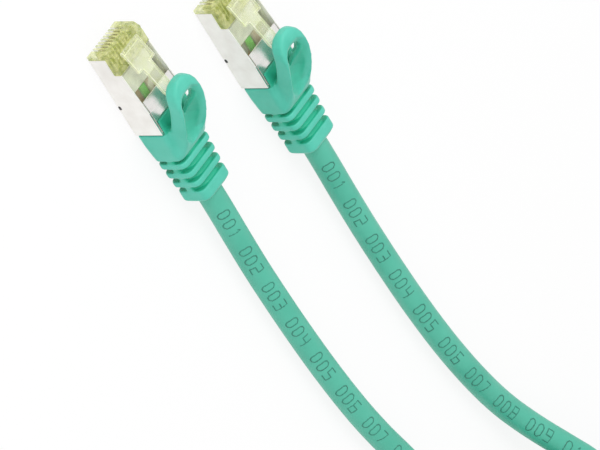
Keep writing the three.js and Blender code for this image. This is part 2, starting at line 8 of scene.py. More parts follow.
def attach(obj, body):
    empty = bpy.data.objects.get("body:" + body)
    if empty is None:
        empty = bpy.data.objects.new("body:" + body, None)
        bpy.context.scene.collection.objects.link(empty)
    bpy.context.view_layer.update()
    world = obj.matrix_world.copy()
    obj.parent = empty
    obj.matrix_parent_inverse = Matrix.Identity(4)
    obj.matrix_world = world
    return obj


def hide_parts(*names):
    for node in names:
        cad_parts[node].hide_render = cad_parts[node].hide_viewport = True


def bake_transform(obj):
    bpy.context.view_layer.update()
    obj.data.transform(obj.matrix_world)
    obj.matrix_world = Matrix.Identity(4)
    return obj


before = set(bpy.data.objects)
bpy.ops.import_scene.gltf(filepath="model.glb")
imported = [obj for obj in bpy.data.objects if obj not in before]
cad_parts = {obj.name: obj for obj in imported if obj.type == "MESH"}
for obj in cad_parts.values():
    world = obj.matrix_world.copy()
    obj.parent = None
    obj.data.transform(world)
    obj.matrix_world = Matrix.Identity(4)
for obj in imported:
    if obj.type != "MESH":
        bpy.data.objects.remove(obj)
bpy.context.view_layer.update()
scene = bpy.context.scene

# Sizes are in millimetres where nothing else is said. They are in the frame of the plug that they
# belong to: x from its nose to its cord, y across it, z above the table.
MM = 0.001
PLUG_STAGGER = 14.6  # the second plug lies this much further back
PLUG_SPACING = 31.4  # and this far to the side
PLUG_LENGTH = 43.1  # with its boot
PLUGS = {  # where the middle of each plug's nose is
    "a": Vector((-(PLUG_STAGGER + PLUG_LENGTH) / 2, -PLUG_SPACING / 2, 0)),
    "b": Vector(((PLUG_STAGGER - PLUG_LENGTH) / 2, PLUG_SPACING / 2, 0)),
}


def place(point, plug="a"):
    """A point of the plug's frame in the model's frame, in metres."""
    return (Vector(point) + PLUGS[plug]) * MM


def add_object(name, data):
    thing = bpy.data.objects.new(name, data)
    scene.collection.objects.link(thing)
    return thing


# ---- Camera ----------------------------------------------------------------------------------
# The photograph looks down at 43 degrees, over the noses and the first plug's near side. It is
# turned, so that the latch side is on its right.
AIM = place((71.4, 19.3, 0))
CAMERA_RIGHT = Vector((0.4616, 0.5056, 0.7288))
CAMERA_UP = Vector((-0.7385, 0.6742, 0))
TO_CAMERA = CAMERA_RIGHT.cross(CAMERA_UP).normalized()
DISTANCE = 3.0  # in metres, and far enough for the plugs' lines to stay parallel
SEEN_WIDTH = 0.1305  # across the picture, in metres
SENSOR_WIDTH = 36

camera = add_object("camera", bpy.data.cameras.new("camera"))
scene.camera = camera
camera.data.sensor_width = SENSOR_WIDTH
camera.data.lens = SENSOR_WIDTH * DISTANCE / SEEN_WIDTH
camera.matrix_world = Matrix.Translation(AIM + TO_CAMERA * DISTANCE) @ Matrix(
    (CAMERA_RIGHT.normalized(), CAMERA_UP.normalized(), TO_CAMERA)
).transposed().to_4x4()
camera.data.clip_start = 0.05
camera.data.clip_end = 20

# ---- Materials -------------------------------------------------------------------------------


def linear(red, green, blue):
    """A colour given as 0 to 255, as a shader wants it."""
    def one(value):
        value /= 255
        return value / 12.92 if value <= 0.04045 else ((value + 0.055) / 1.055) ** 2.4
    return (one(red), one(green), one(blue), 1)


class Finish:
    """A material whose nodes are added one by one. Colours are given as 0 to 255."""

    def __init__(self, name, **inputs):
        self.material = bpy.data.materials.new(name)
        self.material.use_nodes = True
        self.nodes = self.material.node_tree.nodes
        self.links = self.material.node_tree.links
        self.shader = self.nodes["Principled BSDF"]
        self.position = self.nodes.new("ShaderNodeTexCoord").outputs["Object"]
        for key, value in inputs.items():
            self.shader.inputs[key.replace("_", " ")].default_value = value

    def marked(self, name):
        """What a mesh says about its points under that name, or 0 if it says nothing."""
        node = self.nodes.new("ShaderNodeAttribute")
        node.attribute_name = name
        return node.outputs["Fac"]

    def edges(self, facing, grazing):
        """A number that goes from facing to grazing where the surface turns away."""
        node = self.nodes.new("ShaderNodeLayerWeight")
        node.inputs["Blend"].default_value = 0.5
        return self.between(node.outputs["Facing"], facing, grazing, 0, 1)

    def noise(self, scale, detail=3, stretch=(1, 1, 1)):
        """Noise over the surface, in lumps per metre. A stretch below 1 draws them out along that axis."""
        node = self.nodes.new("ShaderNodeTexNoise")
        node.inputs["Scale"].default_value = scale
        node.inputs["Detail"].default_value = detail
        vector = self.nodes.new("ShaderNodeVectorMath")
        vector.operation = "MULTIPLY"
        vector.inputs[1].default_value = stretch
        self.links.new(self.position, vector.inputs[0])
        self.links.new(vector.outputs[0], node.inputs["Vector"])
        return node.outputs["Fac"]

    def mixed(self, factor, low, high):
        """A mix of two colours, which are given as numbers or as the outputs of nodes."""
        mix = self.nodes.new("ShaderNodeMix")
        mix.data_type = "RGBA"
        for key, color in (("A", low), ("B", high)):
            if isinstance(color, tuple):
                mix.inputs[key].default_value = linear(*color)
            else:
                self.links.new(color, mix.inputs[key])
        self.links.new(factor, mix.inputs["Factor"])
        return mix.outputs["Result"]

    def between(self, factor, low, high, start=0.3, end=0.7):
        """Colours or numbers between low and high, as factor goes from start to end."""
        node = self.nodes.new("ShaderNodeMapRange")
        node.inputs["From Min"].default_value = start
        node.inputs["From Max"].default_value = end
        self.links.new(factor, node.inputs["Value"])
        if isinstance(low, tuple):
            return self.mixed(node.outputs["Result"], low, high)
        node.inputs["To Min"].default_value = low
        node.inputs["To Max"].default_value = high
        return node.outputs["Result"]

    def put(self, key, output):
        self.links.new(output, self.shader.inputs[key])

    def relief(self, height, depth, strength):
        """Adds fine relief of depth millimetres and gives the material, which it completes."""
        node = self.nodes.new("ShaderNodeBump")
        node.inputs["Strength"].default_value = strength
        node.inputs["Distance"].default_value = depth * MM
        self.links.new(height, node.inputs["Height"])
        self.links.new(node.outputs["Normal"], self.shader.inputs["Normal"])
        return self.material


def moulded_finish():
    """Soft satin plastic of the boots, with shade painted in as a darker and stronger colour where its
    points are marked for it.
    """
    f = Finish("moulded_boot", IOR=1.5, Specular_IOR_Level=0.5, Sheen_Weight=0.2, Sheen_Roughness=0.4)
    open_colour = f.between(f.noise(180), (70, 186, 162), (84, 196, 174))
    # Painted shade: the darker, stronger colour that stands in for shade in the hollow, under the guard
    # and between the ribs.
    painted_shade_colour = f.between(f.noise(180), (12, 166, 130), (24, 178, 142))
    f.put("Base Color", f.mixed(f.marked("painted_shade"), open_colour, painted_shade_colour))
    f.put("Roughness", f.between(f.noise(900), 0.42, 0.55))
    return f.relief(f.noise(2600, detail=2), depth=0.02, strength=0.25)


def jacket_finish():
    """Extruded plastic of the cord, a little glossier than the boots."""
    f = Finish("cord_jacket", IOR=1.5, Specular_IOR_Level=0.5)
    f.put("Base Color", f.between(f.noise(120), (72, 174, 149), (84, 184, 159)))
    f.put("Roughness", f.between(f.noise(700), 0.36, 0.48))
    return f.relief(f.noise(1500, detail=2), depth=0.02, strength=0.3)


def plated_finish(name, low, high, metallic, smooth, rough):
    """Nickel plate over sheet, with the fine lines of its rolling."""
    f = Finish(name, Metallic=metallic)
    f.put("Base Color", f.between(f.noise(300), low, high))
    f.put("Roughness", f.between(f.noise(1200, detail=4, stretch=(1, 0.05, 0.05)), smooth, rough))
    return f.relief(f.noise(2500, stretch=(0.06, 1, 1)), depth=0.01, strength=0.2)


def clear_finish(name, low, high, facing, grazing, lumps, glassy=0.0):
    """Clear tinted plastic, which shows least where it faces the eye and most at its edges."""
    f = Finish(name, IOR=1.5, Transmission_Weight=glassy, Specular_IOR_Level=0.6)
    f.put("Base Color", f.between(f.noise(lumps, detail=4), low, high, 0.35, 0.65))
    f.put("Alpha", f.edges(facing, grazing))
    f.put("Roughness", f.between(f.noise(800), 0.05, 0.14))
    return f.relief(f.noise(1400, detail=2), depth=0.02, strength=0.3)


def gold_finish():
    f = Finish("gold_plate", Metallic=0.6)
    f.put("Base Color", f.between(f.noise(500), (234, 226, 170), (246, 240, 198)))
    f.put("Roughness", f.between(f.noise(1500), 0.25, 0.38))
    return f.relief(f.noise(3000, detail=2), depth=0.005, strength=0.2)


def plain_finish(name, color, twisted=False):
    """One coloured plastic, or a wire of it twisted with a white one, which shows as slanting bands."""
    f = Finish(name, IOR=1.5)
    if twisted:
        bands = f.nodes.new("ShaderNodeTexWave")
        bands.bands_direction = "DIAGONAL"
        bands.inputs["Scale"].default_value = 90
        f.links.new(f.position, bands.inputs["Vector"])
        f.put("Base Color", f.between(bands.outputs["Fac"], color, (226, 226, 206), 0.6, 0.75))
    else:
        darker = tuple(c * 0.85 for c in color)
        f.put("Base Color", f.between(f.noise(400), darker, color))
    f.put("Roughness", f.between(f.noise(1200), 0.35, 0.5))
    return f.relief(f.noise(2500, detail=2), depth=0.01, strength=0.3)


def braid_finish():
    """Fine tinned wires, as lumps drawn out along the plug."""
    f = Finish("tinned_braid", Metallic=1.0)
    wires = (0.3, 1, 1)
    f.put("Base Color", f.between(f.noise(2500, 2, wires), (150, 148, 142), (214, 212, 206)))
    f.put("Roughness", f.between(f.noise(1500), 0.3, 0.5))
    return f.relief(f.noise(3500, 2, wires), depth=0.1, strength=0.6)


moulded = moulded_finish()
jacket = jacket_finish()
# Name, the two colours that it varies between, how metallic it is, and its least and most roughness.
plated = plated_finish("satin_nickel", (238, 235, 230), (248, 246, 242), 0.55, 0.36, 0.5)
# Near-white, hardly metallic nickel, painted light on the shield's inside faces, which lie in shade.
inner_plated_painted_light = plated_finish("inner_nickel_painted_light", (250, 249, 244), (254, 253, 250), 0.1, 0.5, 0.6)
bright_plated = plated_finish("bright_nickel", (226, 223, 220), (238, 236, 233), 0.9, 0.16, 0.24)
# Name, the two colours, how much shows facing the eye and at a grazing angle, lumps of colour per metre,
# and how much of the light goes through as through glass.
clear_nose = clear_finish("clear_nose", (160, 178, 54), (248, 250, 170), 0.5, 0.8, 700, 0.3)
clear_thin = clear_finish("clear_thin", (236, 242, 176), (252, 255, 226), 0.14, 0.5, 500, 0.2)
clear_arm = clear_finish("clear_arm", (242, 247, 196), (254, 255, 232), 0.28, 0.75, 500, 0.3)
# A darker, more solid clear, painted on the housing's broken edges as shade.
clear_painted_shade = clear_finish("clear_painted_shade", (150, 156, 126), (196, 200, 170), 0.5, 0.85, 900)
clear_inner = clear_finish("clear_inner", (240, 246, 200), (252, 255, 232), 0.03, 0.35, 500)
# A brighter, more solid clear, painted on the latch's broken edges as highlight.
clear_painted_highlight = clear_finish("clear_painted_highlight", (236, 246, 180), (255, 255, 240), 0.7, 0.9, 900)
# Near black, painted as the shade in the shield's notches, on the catches' tails there.
catch_painted_shade = plain_finish("dark_catch_painted_shade", (52, 50, 50))
gold = gold_finish()
ink = plain_finish("print_ink", (46, 136, 116))
bar = plain_finish("load_bar_plastic", (240, 242, 226))
braid = braid_finish()
PAIR_FINISHES = {
    "pair_green": plain_finish("green_insulation", (70, 216, 28)),
    "pair_brown": plain_finish("brown_insulation", (192, 172, 148), twisted=True),
    "pair_orange": plain_finish("orange_insulation", (236, 150, 60), twisted=True),
    "pair_blue": plain_finish("blue_insulation", (70, 130, 200), twisted=True),
}

# ---- Cord ------------------------------------------------------------------------------------
CORD_DIAMETER = 6.0
EXIT_HEIGHT = 4.0  # of the cord's middle line in the boots
REST = CORD_DIAMETER / 2  # and of it where the cord lies on the table
CORD_IN_BOOT = 6
CORD_STEP = 2.0  # from point to point of the free stretches
COIL_MIDDLE = (188.0, 14.0)
COIL_RADIUS = 35.5
COIL_START = math.radians(-140)
COIL_TURNS = 3.686
COIL_PITCH = CORD_DIAMETER + 0.5
CLIMB_TURNS = 0.5  # in which it climbs a layer
TURN_ROUNDING = 0.08  # in turns, where it stops winding in and starts winding out
LAYER_RISE = CORD_DIAMETER + 0.45
TURN_STEPS = 48

# Both free stretches are in the first plug's frame, as in the CAD model.
STRETCH_A = [
    (43.4, 0, EXIT_HEIGHT), (50, 0, 3.9), (58, 0.1, 3.5), (68, 0.3, 3.1), (85.6, 0.9, REST),
    (100, 1.9, REST), (112.5, 3.4, REST), (121, 5.0, REST), (131, 7.3, REST), (139, 7.9, REST),
    (146.3, 6.2, REST),
]
STRETCH_B = [
    (58.0, 31.4, EXIT_HEIGHT), (64.5, 31.4, 3.9), (72.5, 31.5, 3.5), (82, 31.7, 3.1), (95, 32, REST),
    (107.5, 32.6, REST), (120, 33.8, REST), (131.5, 35.7, REST), (142, 38.2, 3.3), (151, 40.8, 5.0),
    (161, 43.9, 8.3),
]


def coil_point(turn):
    """The coil winds in on the table, climbs a layer where it turns round, and winds out again."""
    from_middle = turn - COIL_TURNS / 2
    inward = COIL_TURNS / 2 - math.hypot(from_middle, TURN_ROUNDING)
    radius = COIL_RADIUS - COIL_PITCH * inward
    t = min(max((from_middle + CLIMB_TURNS / 2) / CLIMB_TURNS, 0), 1)
    climb = t * t * (3 - 2 * t)
    angle = COIL_START + turn * 2 * math.pi
    x, y = COIL_MIDDLE
    return Vector((x + radius * math.cos(angle), y + radius * math.sin(angle), REST + LAYER_RISE * climb))


def coil_line():
    """The coil's points, with one more straight on from each end, a diameter away and level."""
    steps = round(COIL_TURNS * TURN_STEPS)
    turns = [coil_point(i * COIL_TURNS / steps) for i in range(steps + 1)]

    def beyond(a, b):
        way = (a - b) * Vector((1, 1, 0))
        return a + way.normalized() * CORD_DIAMETER
    return [beyond(turns[0], turns[1]), *turns, beyond(turns[-1], turns[-2])]


def smooth_line(points):
    """A centripetal curve through the points, sampled about every CORD_STEP."""
    points = [Vector(p) for p in points]
    points = [2 * points[0] - points[1], *points, 2 * points[-1] - points[-2]]
    line = []
    for p0, p1, p2, p3 in zip(points, points[1:], points[2:], points[3:]):
        t1 = math.sqrt((p1 - p0).length)
        t2 = t1 + math.sqrt((p2 - p1).length)
        t3 = t2 + math.sqrt((p3 - p2).length)
        count = max(1, round((p2 - p1).length / CORD_STEP))
        for i in range(count):
            t = t1 + (t2 - t1) * i / count
            a1 = p0.lerp(p1, t / t1)
            a2 = p1.lerp(p2, (t - t1) / (t2 - t1))
            a3 = p2.lerp(p3, (t - t2) / (t3 - t2))
            b1 = a1.lerp(a2, t / t2)
            b2 = a2.lerp(a3, (t - t1) / (t3 - t1))
            line.append(b1.lerp(b2, (t - t1) / (t2 - t1)))
    return line + [points[-2]]


def run_to_coil(stretch, end, before):
    """A free stretch that goes smoothly on into an end of the coil."""
    return smooth_line([*stretch, end + (end - before).normalized() * CORD_DIAMETER, end])


def tubes(name, lines, radius, roundness, material):
    """One curve that holds a round tube along each line of the first plug's frame."""
    curve = bpy.data.curves.new(name, "CURVE")
    curve.dimensions = "3D"
    curve.bevel_depth = radius * MM
    curve.bevel_resolution = roundness
    curve.use_fill_caps = True
    for line in lines:
        spline = curve.splines.new("POLY")
        spline.points.add(len(line) - 1)
        for point, at in zip(spline.points, line):
            point.co = (*place(at), 1)
    curve.materials.append(material)
    return add_object(name, curve)


coil = coil_line()
run_a = run_to_coil(STRETCH_A, coil[0], coil[1])
run_b = run_to_coil(STRETCH_B, coil[-1], coil[-2])
inside_a = Vector((PLUG_LENGTH - CORD_IN_BOOT, 0, EXIT_HEIGHT))
inside_b = inside_a + Vector((PLUG_STAGGER, PLUG_SPACING, 0))
cord_line = [inside_a, *run_a[:-1], *coil, *reversed(run_b[:-1]), inside_b]
cord_length = sum((b - a).length for a, b in zip(cord_line, cord_line[1:])) * MM
cord = tubes("cord", [cord_line], CORD_DIAMETER / 2, 8, jacket)
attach(cord, "cable")
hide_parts("cord_a", "cord_coil", "cord_b")
place((PLUG_LENGTH, 0, EXIT_HEIGHT))

# ---- Length marks on the cord ----------------------------------------------------------------
# Plain counting numbers stand where the photographed jacket is printed.
MARK_SIDE = Vector((-0.49, -0.54, 0.69))  # the side of the cord that they are on
MARK_WIDTH = 1.5
MARK_HEIGHT = 3.0
MARK_PITCH = 2.7
LAST_NUMBER = 10  # on each run
FIRST_MARK = 5.0  # from the run's start, which is just behind the boot
STROKE_PIECES = 3  # that each straight stroke is in, so that it goes round with the jacket
INK_RADIUS = 0.2
INK_SINK = 0.13  # how deep the middle of an ink line lies in the jacket
# Each digit's strokes, in widths and half heights from its lower left corner.
DIGITS = {
    "0": [[(0.3, 0), (0, 0.4), (0, 1.6), (0.3, 2), (0.7, 2), (1, 1.6), (1, 0.4), (0.7, 0), (0.3, 0)]],
    "1": [[(0.2, 1.6), (0.5, 2), (0.5, 0)]],
    "2": [[(0, 2), (1, 2), (1, 1), (0, 1), (0, 0), (1, 0)]],
    "3": [[(0, 2), (1, 2), (1, 0), (0, 0)], [(0.2, 1), (1, 1)]],
    "4": [[(0, 2), (0, 1), (1, 1)], [(1, 2), (1, 0)]],
    "5": [[(1, 2), (0, 2), (0, 1), (1, 1), (1, 0), (0, 0)]],
    "6": [[(1, 2), (0, 2), (0, 0), (1, 0), (1, 1), (0, 1)]],
    "7": [[(0, 2), (1, 2), (0.4, 0)]],
    "8": [[(0, 0), (0, 2), (1, 2), (1, 0), (0, 0)], [(0, 1), (1, 1)]],
    "9": [[(1, 1), (0, 1), (0, 2), (1, 2), (1, 0), (0, 0)]],
}


def on_jacket(line, along, across):
    """A point just in the jacket, that far along the line and that far round from the marked side."""
    for a, b in zip(line, line[1:]):
        step = (b - a).length
        if along <= step:
            break
        along -= step
    way = (b - a).normalized()
    side = (MARK_SIDE - way * MARK_SIDE.dot(way)).normalized()
    angle = across / (CORD_DIAMETER / 2)
    out = side * math.cos(angle) + side.cross(way) * math.sin(angle)
    return a + way * along + out * (CORD_DIAMETER / 2 - INK_SINK)


def mark_strokes(line):
    """The strokes of three-digit numbers, counted up along the line."""
    places = " ".join(f"{number:03}" for number in range(1, 1 + LAST_NUMBER))
    for i, digit in enumerate(places):
        start = FIRST_MARK + i * MARK_PITCH
        for stroke in DIGITS.get(digit, []):
            points = [stroke[0]]
            for (x0, y0), (x1, y1) in zip(stroke, stroke[1:]):
                for k in range(1, 1 + STROKE_PIECES):
                    points.append((x0 + (x1 - x0) * k / STROKE_PIECES, y0 + (y1 - y0) * k / STROKE_PIECES))
            yield [on_jacket(line, start + x * MARK_WIDTH, (y - 1) * MARK_HEIGHT / 2) for x, y in points]


for plug, run in (("a", run_a), ("b", run_b)):
    marks = tubes(f"length_marks_{plug}", mark_strokes(run), INK_RADIUS, 1, ink)
    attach(marks, "cable")

# ---- Making of moulded shapes ----------------------------------------------------------------
CORNER_STEPS = 5  # faces round each corner of a rounded box


def rounded_box(width, height, corner, middle=0.0):
    """Points round a rounded rectangle in y and z, about y = 0 and z = middle."""
    points = []
    for i, (sy, sz) in enumerate(((1, 1), (-1, 1), (-1, -1), (1, -1))):
        for k in range(CORNER_STEPS + 1):
            angle = (i + k / CORNER_STEPS) * math.pi / 2
            points.append((
                sy * (width / 2 - corner) + corner * math.cos(angle),
                middle + sz * (height / 2 - corner) + corner * math.sin(angle),
            ))
    return points


def loft(rings):
    """A closed shell through rings of points."""
    shell = bmesh.new()
    made = [[shell.verts.new(point) for point in ring] for ring in rings]
    for low, high in zip(made, made[1:]):
        for k in range(len(low)):
            n = (k + 1) % len(low)
            shell.faces.new((low[k], low[n], high[n], high[k]))
    shell.faces.new(made[0])
    shell.faces.new(made[-1])
    bmesh.ops.recalc_face_normals(shell, faces=shell.faces)
    return shell


def along_x(stations):
    """A loft of rounded boxes; a station is x, width, height, corner, middle height."""
    return loft([[(x, y, z) for y, z in rounded_box(w, h, c, m)] for x, w, h, c, m in stations])


def put_object(name, shells):
    """One object that holds all the shells, which it uses up."""
    mesh = bpy.data.meshes.new(name)
    whole = bmesh.new()
    for shell in shells:
        part = bpy.data.meshes.new("part")
        shell.to_mesh(part)
        whole.from_mesh(part)
        bpy.data.meshes.remove(part)
        shell.free()
    whole.to_mesh(mesh)
    whole.free()
    return add_object(name, mesh)


def settle(thing):
    """Turns the object's modifiers into plain mesh."""
    bpy.context.view_layer.update()
    mesh = bpy.data.meshes.new_from_object(thing.evaluated_get(bpy.context.evaluated_depsgraph_get()))
    thing.modifiers.clear()
    old, thing.data = thing.data, mesh
    bpy.data.meshes.remove(old)


def fuse(thing, voxel):
    """Melts the shells of an object into one skin of about square faces."""
    remesh = thing.modifiers.new("remesh", "REMESH")
    remesh.mode = "VOXEL"
    remesh.voxel_size = voxel
    settle(thing)


def cut(thing, cutter):
    """Takes the cutter out of the object, and away."""
    boolean = thing.modifiers.new("cut", "BOOLEAN")
    boolean.operation = "DIFFERENCE"
    boolean.solver = "EXACT"
    boolean.object = cutter
    settle(thing)
    bpy.data.objects.remove(cutter)


def soften(thing, factor, repeat):
    smooth = thing.modifiers.new("smooth", "SMOOTH")
    smooth.factor = factor
    smooth.iterations = repeat
    settle(thing)
    thing.data.polygons.foreach_set("use_smooth", [True] * len(thing.data.polygons))


def thinned(thing, share):
    """Joins the small faces of a smooth skin where that changes its shape least."""
    decimate = thing.modifiers.new("decimate", "DECIMATE")
    decimate.ratio = share
    settle(thing)


def to_plug(mesh, plug):
    """Takes a mesh from the plug's frame, in millimetres, to the model's, in metres."""
    mesh.transform(Matrix.Scale(MM, 4) @ Matrix.Translation(PLUGS[plug]))


# ---- Boot with its latch guard ---------------------------------------------------------------
BOOT_FRONT = 22.8
HOOD_END = 30.6
RIB_PITCH = 2.8
FIRST_RIB = 32.1
RIBS = 4
FIRST_RIB_WIDTH = 11.2
RIB_NARROWING = 1.4  # from the first rib to the last
RIB_HEIGHT = 8.1
RIB_CORNER = 1.7
RIB_MIDDLE = 4.15  # its height above the table
LAST_RIB = FIRST_RIB + (RIBS - 1) * RIB_PITCH
# Stations of the boot's main forms, each as x, width, height, corner and middle height.
HOOD = [
    (BOOT_FRONT, 11.9, 8.6, 1.2, 4.3), (26.0, 11.8, 8.6, 1.3, 4.3), (29.0, 11.3, 8.4, 1.5, 4.2),
    (HOOD_END - 0.2, 10.9, 8.2, 1.5, 4.1), (HOOD_END, 10.7, 8.0, 1.5, 4.1),
]
LIP = [(BOOT_FRONT - 3.8, 10.4, 0.5, 0.2, 8.3), (BOOT_FRONT + 1, 10.9, 0.5, 0.2, 8.3)]  # over the shield
CORE = [(HOOD_END - 1, 8.2, 6.9, 2.6, EXIT_HEIGHT), (PLUG_LENGTH - 0.5, 7.6, 6.8, 2.6, EXIT_HEIGHT)]
WEBS = [(HOOD_END - 1, 10.7, 2.1, 0.5, 4.3), (LAST_RIB, 9.5, 2.1, 0.5, 4.3)]  # between the ribs
BORE = [(BOOT_FRONT + 0.6, 6.2, 6.2, 3.05, EXIT_HEIGHT), (PLUG_LENGTH + 1, 6.2, 6.2, 3.05, EXIT_HEIGHT)]

# The guard's sides: under and upper edge in x and z, half width, from the root in the hood to the tip.
GUARD_HALF = 4.4
GUARD_CORNER = 1.0
GUARD_STATIONS = [
    ((22.6, 7.4), (30.5, 7.6), 5.5), ((22.7, 8.3), (30.0, 8.6), 5.0),
    ((22.6, 8.8), (29.0, 9.5), 4.6), ((22.1, 9.3), (27.2, 11.0), GUARD_HALF),
    ((20.6, 10.2), (24.6, 13.1), GUARD_HALF), ((18.9, 11.2), (22.3, 14.8), GUARD_HALF),
    ((17.0, 12.1), (19.6, 15.8), GUARD_HALF), ((15.4, 12.6), (17.0, 16.1), GUARD_HALF),
    ((13.9, 12.9), (15.0, 16.2), 4.15), ((12.8, 13.0), (13.5, 16.2), 3.55),
    ((11.9, 13.2), (12.3, 16.1), 2.6), ((11.35, 13.7), (11.45, 15.7), 1.3),
]
# The hollow in the guard's upper side: middle line in x and z, half width, and depth below the rim.
SCOOP = [
    ((12.6, 17.6), 1.2, 0.2), ((14.6, 16.0), 1.8, 0.5), ((15.8, 15.1), 2.3, 1.1),
    ((17.6, 14.0), 2.8, 1.9), ((19.8, 12.3), 3.0, 2.8), ((22.0, 10.4), 2.9, 3.4),
    ((24.4, 9.5), 2.5, 2.8), ((26.8, 9.1), 1.7, 1.5), ((29.0, 9.2), 0.8, 0.4),
]
CHANNEL = (2, 5)  # from this station of it to before that one, another hollow lies under it
TROUGH_STEPS = 6
RIM_SLOPE_WIDTH = 1.5  # the rim falls towards the hollow over this width
RIM_SLOPE_DEPTH = 1.1
CUTTER_TOP = 7  # over the hollow's middle line, clear of the guard
WEB_THICKNESS = 1.3  # of the guard's wall between the hollow and the one under it

# The hole in the guard starts as a half circle at its front and narrows to its end.
HOLE_FRONT = Vector((15.2, 0, 15.4))
HOLE_END = Vector((21.7, 0, 10.7))
HOLE_HALF = 2.7
HOLE_END_HALF = 0.4
HOLE_STEPS = 12
HOLE_UPRIGHT = 0.35  # how its walls stand, from 0, square to the guard, to 1, upright
# Each level's height over the line from front to end, at both, how much wider it is, and how much longer
# at the front.
HOLE_LEVELS = [(4.5, 4.5, 0, 0), (-0.1, -0.1, 0, 0), (-2.4, -1.4, 1.9, 0.7), (-4.0, -2.0, 2.3, 0.9)]

ROUGH_VOXEL = 0.2  # before the cuts
FINE_VOXEL = 0.15  # and after them
BEND_AT = 25.6  # points on the guard at this x and these heights, placed but not used
BEND_START = 9.0
BEND_END = 11.5


def rib_shape(number):
    """A rib round the core. The last one goes on to the boot's end, and is rounder there."""
    middle = FIRST_RIB + number * RIB_PITCH
    width = FIRST_RIB_WIDTH - RIB_NARROWING * number / (RIBS - 1)
    end, round_end = (PLUG_LENGTH, 0.8) if number == RIBS - 1 else (middle + 0.7, 0.15)
    return along_x([
        (middle - 0.75, width - 0.3, 7.9, 1.6, RIB_MIDDLE),
        (middle - 0.6, width, RIB_HEIGHT, RIB_CORNER, RIB_MIDDLE),
        (end - round_end, width, RIB_HEIGHT, RIB_CORNER, RIB_MIDDLE),
        (end, width - 2 * round_end, RIB_HEIGHT - 2 * round_end, 1.6, RIB_MIDDLE),
    ])


def guard_ring(low, high, half):
    """A rounded box between two points in x and z, that far to each side."""
    thick = math.hypot(high[0] - low[0], high[1] - low[1])
    corner = min(GUARD_CORNER, thick / 2.2, half * 0.9)  # which leaves each side a little flat
    along = Vector((high[0] - low[0], 0, high[1] - low[1])) / thick
    middle = Vector(((low[0] + high[0]) / 2, 0, (low[1] + high[1]) / 2))
    return [middle + along * t + Vector((0, y, 0)) for y, t in rounded_box(2 * half, thick, corner)]


def boot_shape():
    return [
        *(along_x(stations) for stations in (HOOD, LIP, CORE, WEBS)),
        *(rib_shape(number) for number in range(RIBS)),
        loft([guard_ring(*station) for station in GUARD_STATIONS]),
    ]


def trough(half):
    """Half of a round-bottomed trough's section, from its middle out, as y and height."""
    angles = [math.pi / 2 * k / TROUGH_STEPS for k in range(TROUGH_STEPS + 1)]
    return [(half * math.sin(angle), 0.8 * half * (1 - math.cos(angle))) for angle in angles]


def upper_section(half, depth):
    """Half of the hollow's section, with the rim's slope, for cutting from above."""
    rim = depth - RIM_SLOPE_DEPTH
    # Where the hollow is shallow, each height is still a little over the last.
    side = [(y, min(t, max(rim, 0.02 * i))) for i, (y, t) in enumerate(trough(half))]
    wide = half + RIM_SLOPE_WIDTH
    return [*side, (half + 0.02, max(rim, 0.15)), (wide, depth + 0.05), (wide, CUTTER_TOP)]


def under_section(half, _depth):
    """Half of the section of the hollow under it, for cutting from below. Its depth is always the same."""
    side = [(y, t - WEB_THICKNESS) for y, t in trough(half) if y < 0.9 * half]
    return [*side, (half + 0.3, -0.9), (half + 1.1, -2.2), (half + 1.1, -3.2)]


def hollow_shape(section, first=0, last=len(SCOOP)):
    """A loft along the hollow's middle line. Section gives half of a ring for a half width and a depth."""
    rings = []
    for i in range(first, last):
        (x, z), half, depth = SCOOP[i]
        (x0, z0), (x1, z1) = SCOOP[max(i - 1, 0)][0], SCOOP[min(i + 1, len(SCOOP) - 1)][0]
        out = Vector((z0 - z1, 0, x1 - x0)).normalized()
        side = section(half, depth)
        other_side = [(-y, t) for y, t in side[:0:-1]]
        rings.append([Vector((x, y, z)) + out * t for y, t in side + other_side])
    return loft(rings)


def guard_hole():
    """A teardrop hole down through the guard, which widens below so that light comes through."""
    length = (HOLE_END - HOLE_FRONT).length
    along = (HOLE_END - HOLE_FRONT) / length
    out = Vector((-along.z, 0, along.x)).lerp(Vector((0, 0, 1)), HOLE_UPRIGHT).normalized()
    rings = []
    for front, end, wider, longer in HOLE_LEVELS:
        points = [(length, HOLE_END_HALF + wider / 2), (length, -HOLE_END_HALF - wider / 2)]
        for k in range(HOLE_STEPS + 1):
            angle = math.pi * (1.5 - k / HOLE_STEPS)
            t = HOLE_HALF + (HOLE_HALF + longer) * math.cos(angle)
            points.append((t, (HOLE_HALF + wider) * math.sin(angle)))
        ring = []
        for t, y in points:
            level = front + (end - front) * t / length
            ring.append(HOLE_FRONT + along * t + out * level + Vector((0, y, 0)))
        rings.append(ring)
    return loft(rings)


# Painted shade: the colour goes darker and stronger in the hollow, on the lip in the shade under the
# guard, and between the ribs, where shade falls.
LIP_PAINTED_SHADE = 0.8
LIP_SHADE = 9.2  # up to this height in front of the hood
HOLLOW_PAINTED_SHADE = 0.5
HOLLOW_FULL = 2  # this deep, the hollow has its full share of painted shade
HOLLOW_FLOOR = -1.0  # a point further under the middle line isn't in the hollow
HOLLOW_REACH = 0.9  # past the half width, over which the colour fades out
HOLLOW_FADE = 0.8
GROOVE_START = 0.15  # inside the ribs' outline
GROOVE_FADE = 0.3


def in_hollow(x, y, z):
    """From 0 to 1, how far a point of the guard's surface lies down in its hollow."""
    for ((x0, z0), half0, depth0), ((x1, z1), half1, depth1) in zip(SCOOP, SCOOP[1:]):
        if x0 <= x < x1:
            t = (x - x0) / (x1 - x0)
            half, depth = half0 + (half1 - half0) * t, depth0 + (depth1 - depth0) * t
            over = z - z0 - (z1 - z0) * t
            if over < HOLLOW_FLOOR or over > depth:
                return 0
            return min(max((half + HOLLOW_REACH - y) / HOLLOW_FADE, 0), 1) * min(depth / HOLLOW_FULL, 1)
    return 0


